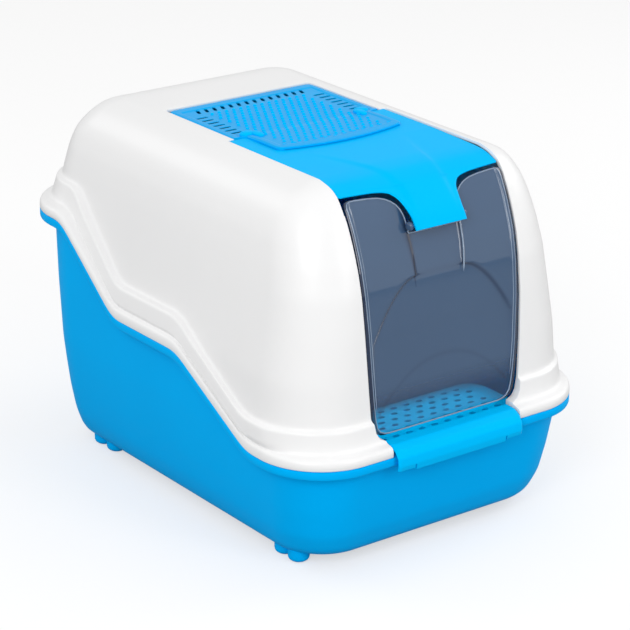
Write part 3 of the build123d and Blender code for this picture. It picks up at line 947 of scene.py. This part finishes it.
def roundBead(path, radius, sides, closed):
    # a thin round cord along a path: rings square to it, tapered at open ends
    along = np.gradient(path, axis=0)
    if closed:
        along = np.roll(path, -1, 0) - np.roll(path, 1, 0)
    along /= np.linalg.norm(along, axis=1, keepdims=True)
    side = np.cross(along, (0.0, 1.0, 0.15))
    side /= np.linalg.norm(side, axis=1, keepdims=True)
    other = np.cross(along, side)
    turn = np.linspace(0, 2 * np.pi, sides, endpoint=False)
    count = len(path)
    size = np.full(count, radius)
    if not closed:
        size *= np.clip(np.minimum(np.arange(count), np.arange(count)[::-1]) / 6, 0.05, 1)
    tube = path[:, None] + size[:, None, None] * (side[:, None] * np.cos(turn)[:, None]
                                                  + other[:, None] * np.sin(turn)[:, None])
    if not closed:
        return closedTube(tube)
    tube = np.concatenate([tube, tube[:1]])
    return outward(tube.reshape(-1, 3), [[corner % (count * sides) for corner in face]
                                         for face in gridFaces(count + 1, sides, True)])


def makeHighlightCords():
    # painted highlights: lighter-tinted cords round the door's edge and up the right edge of the keyhole's
    # neck, where the light catches
    size = highlightCordSize
    right = [(x, z) for z, x in doorSize["side"]] + [(x, z) for z, x in doorSize["notch"]][::-1]
    edge = np.array(right + [(-x, z) for x, z in right[::-1]], float)
    edge = np.vstack([edge, edge[:1]])
    length = lineLength(edge)
    span = np.linspace(0, length[-1], size["samples"], endpoint=False)
    x = np.interp(span, length, edge[:, 0])
    z = np.interp(span, length, edge[:, 1])
    step = np.where(doorHalf(z) - np.abs(x) < 1.0, doorStep(z, size["step"]), size["inset"])
    x = x - np.sign(x) * step * (np.abs(x) > 30)
    z = z - np.sign(z - size["middle"]) * size["inset"]
    shapes = [roundBead(np.stack([x, faceY(z) - 0.3, z], -1), size["radius"], size["sides"], True)]
    # the painted highlight on the neck runs up its right edge only
    neckLow, neckTop = size["neckHeights"]
    rise = np.linspace(neckLow, neckTop, 60)
    inward = size["neckBow"] * ((neckTop - rise) / (neckTop - neckLow)) ** 2
    shapes.append(roundBead(np.stack([size["neckX"] - inward, faceY(rise) - 0.4, rise], -1),
                            size["radius"] * 1.1, size["sides"], False))
    # a second, fainter painted highlight runs beside the first up both sides
    rise = np.linspace(*size["secondHeights"], 90)
    half = doorHalf(rise) - doorStep(rise, size["step"]) - size["second"]
    for side in (-1, 1):
        shapes.append(roundBead(np.stack([side * half, faceY(rise) - 0.2, rise], -1),
                                size["radius"] * 0.7, size["sides"], False))
    joined("doorHighlightCords", shapes, "clearEdge", "door", "smoked_clear")


makeHighlightCords()
ears = [boss(*sorted(side * x for x in earSize["reach"]), earSize["y"], earSize["z"], earSize["radius"])
        for side in (-1, 1)]
joined("doorEars", ears, "smokedClear", "door", "smoked_clear")
print("door done")


# Front clip

clipSize = dict(
    line=[(-276.6, 110.8), (-278.0, 118), (-277.0, 127), (-272, 134.0), (-264, 138.2), (-252, 139)],
    halfWidth=82.0, thickness=2.5, rows=60, columns=161, notchX=60.0, notchHalf=0.9, endDrop=1.3,
    lowerStep=2.6)


def clipWidths(y, z):
    return np.full(np.shape(y), clipSize["halfWidth"])


def makeClip():
    # a rolled sheet whose ends are rounded and whose lower edge steps up beyond the two small notches
    size = clipSize
    across = edgeSamples(size["columns"], 0.75)
    grid = sideGrid(size["line"], clipWidths, across, size["rows"], 0.06)
    normal = gridNormals(grid)
    normal *= -np.sign(normal[:, :, 1:2] - normal[:, :, 2:3])
    rim = size["halfWidth"] - np.abs(grid[:, :, 0])
    outer = grid - normal * (size["endDrop"] * bell(rim, 1.5))[:, :, None]
    inner = grid - normal * size["thickness"]
    for some in (outer, inner):
        beyond = falloff(size["notchX"] + 1 - np.abs(some[:, :, 0]), 0.4)
        some[:, :, 2] += size["lowerStep"] * beyond * ramp(-some[:, :, 2], -118, 8)
    points, faces = sheetShell(outer, inner)
    clip = meshFrom("frontClipRoll", points, faces, "flapBlue", "front_clip", "flap_blue")
    cut(clip, [boxPoints(side * size["notchX"] - size["notchHalf"], side * size["notchX"] + size["notchHalf"],
                         -285, -260, 100, 117) for side in (-1, 1)])
    soften(clip, 0.5)
    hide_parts("front_clip")


makeClip()
print("clip done")


# Filter pad: a felt slab with slightly swollen faces

padSize = dict(halfWidth=88.0, front=-25.5, back=103.5, low=386.6, edge=387.8, high=389.6)


def makePad():
    size = padSize
    across = edgeSamples(60)[None, :]
    along = edgeSamples(50)[:, None]
    x = across * size["halfWidth"] + 0 * along
    y = (size["front"] + size["back"]) / 2 + along * (size["back"] - size["front"]) / 2 + 0 * across
    fall = (1 - np.abs(across) ** 10) * (1 - np.abs(along) ** 10)
    top = np.stack([x, y, size["edge"] + (size["high"] - size["edge"]) * fall ** 0.5], -1)
    bottom = np.stack([x, y, np.full(x.shape, size["low"])], -1)
    points, faces = sheetShell(top, bottom)
    pad = meshFrom("feltPad", points, faces, "carbonFelt", "bonnet", "carbon_felt")
    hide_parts("filter_pad")


makePad()


# CAD pieces that stay

for name in ("entry_grate", "clip_pin_left", "clip_pin_right", "grate_pin_left", "grate_pin_right",
             "roof_pin_left", "roof_pin_right", "door_pin_left", "door_pin_right"):
    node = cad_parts[name]
    node.data.materials.clear()
    node.data.materials.append(finishes["flapBlue" if name == "entry_grate" else "pinBlue"])
print("kept pieces dressed")


# Floor, light and camera

stageSize = dict(floor=(0.42, 0.42, 0.42, 1), lift=0.58, world=0.64, size=9.0)


def makeStage():
    size = stageSize
    mesh = bpy.data.meshes.new("floor")
    half = size["size"] / 2
    corners = [(-half, -half, 0), (half, -half, 0), (half, half, 0), (-half, half, 0)]
    mesh.from_pydata(corners, [], [(0, 1, 2, 3)])
    floor = linked("floor", mesh)
    made = Finish("paleFloor")
    # the camera sees the floor a little lighter than its light makes it, so that it runs into the white
    seenFloor = made.node("ShaderNodeLightPath")
    made.finish({"Base Color": size["floor"], "Roughness": 0.9, "Specular IOR Level": 0.1,
                 "Emission Color": made.blend(seenFloor, (0, 0, 0, 1), (1, 1, 1, 1)),
                 "Emission Strength": size["lift"]})
    mesh.materials.append(made.material)
    world = bpy.data.worlds.new("studio")
    world.use_nodes = True
    bpy.context.scene.world = world
    tree = world.node_tree
    tree.nodes.clear()
    path = tree.nodes.new("ShaderNodeLightPath")
    seen = Wire(tree, path.outputs["Is Camera Ray"])
    glossy = Wire(tree, path.outputs["Is Glossy Ray"])
    through = Wire(tree, path.outputs["Is Transmission Ray"])
    direct = seen + glossy * 0.6 + through
    background = tree.nodes.new("ShaderNodeBackground")
    background.inputs["Color"].default_value = (1, 1, 1, 1)
    strength = direct * (1 - size["world"]) + size["world"]
    clamp = tree.nodes.new("ShaderNodeClamp")
    tree.links.new(strength.socket, clamp.inputs[0])
    tree.links.new(clamp.outputs[0], background.inputs["Strength"])
    output = tree.nodes.new("ShaderNodeOutputWorld")
    tree.links.new(background.outputs[0], output.inputs[0])


makeStage()

lamps = [
    dict(name="keyPanel", place=(-2.2, -1.5, 1.6), aim=(0, 0, 0.2), width=1.3, height=1.3, power=32.0),
    dict(name="frontStrip", place=(0.4, -2.4, 1.2), aim=(0, -0.1, 0.2), width=0.7, height=1.6, power=14.0),
    dict(name="backPanel", place=(-1.3, 2.3, 1.9), aim=(0, 0, 0.2), width=1.8, height=1.4, power=12.0),
    dict(name="rightPanel", place=(2.2, -0.4, 1.4), aim=(0, 0, 0.2), width=1.2, height=1.4, power=15.0),
    # light that comes through the thin hood, straight down over the grate
    dict(name="cabinGlow", place=(0, -0.195, 0.20), width=0.2, height=0.06, power=0.035, spread=70),
]


def makeLamp(look):
    light = bpy.data.lights.new(look["name"], "AREA")
    light.shape = "RECTANGLE"
    light.size = look["width"]
    light.size_y = look["height"]
    light.energy = look["power"]
    holder = linked(look["name"], light)
    holder.location = look["place"]
    if "aim" in look:
        line = Vector(look["aim"]) - Vector(look["place"])
        holder.rotation_euler = line.to_track_quat("-Z", "Y").to_euler()
    if "spread" in look:
        light.spread = np.radians(look["spread"])
        holder.visible_camera = False
        holder.visible_glossy = False


for lamp in lamps:
    makeLamp(lamp)

cameraSize = dict(azimuth=-37.33, elevation=21.09, roll=0.63, lens=146.95, distance=2414.6,
                  target=(-206.42, -298.18, 316.82))


def makeCamera():
    # stands back from the target along the azimuth and the elevation, then rolls about its own line
    size = cameraSize
    turn, lift, roll = (np.radians(size[key]) for key in ("azimuth", "elevation", "roll"))
    back = np.array([np.sin(turn) * np.cos(lift), -np.cos(turn) * np.cos(lift), np.sin(lift)])
    right = np.cross(-back, [0, 0, 1])
    right /= np.linalg.norm(right)
    up = np.cross(right, -back)
    right, up = right * np.cos(roll) + up * np.sin(roll), up * np.cos(roll) - right * np.sin(roll)
    place = (np.array(size["target"]) + (0, frameShift, 0) + back * size["distance"]) * mm
    lens = bpy.data.cameras.new("photoCamera")
    lens.lens = size["lens"]
    lens.sensor_width = 36.0
    camera = linked("photoCamera", lens)
    stand = np.column_stack([right, up, back, place])
    camera.matrix_world = Matrix(np.vstack([stand, [0, 0, 0, 1]]).tolist())
    bpy.context.scene.camera = camera


makeCamera()
bpy.context.scene.view_settings.view_transform = "Standard"
print("stage, lamps and camera ready")
